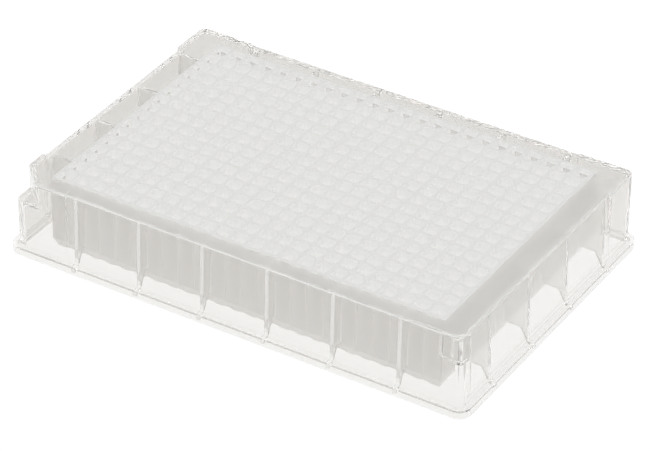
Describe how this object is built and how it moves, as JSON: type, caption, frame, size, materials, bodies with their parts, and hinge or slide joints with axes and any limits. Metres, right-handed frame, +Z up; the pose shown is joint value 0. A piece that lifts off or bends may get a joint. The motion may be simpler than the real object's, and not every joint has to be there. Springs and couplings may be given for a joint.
{
  "type": "well plate",
  "caption": "Clear moulded plate of square wells with pointed floors, set in a flanged rectangular skirt with two notched corners.",
  "frame": {"origin": "middle of the plane that the foot stands on", "axes": "+X along the long side, +Y across towards the side with no notches, +Z up out of the wells"},
  "size_m": [0.1278, 0.0854, 0.0215],
  "materials": {
    "clear_plastic": "clear natural polypropylene, slightly hazy, glossy rim and satin well field"
  },
  "bodies": {
    "root": {"well_plate": "clear_plastic"}
  },
  "joints": []
}
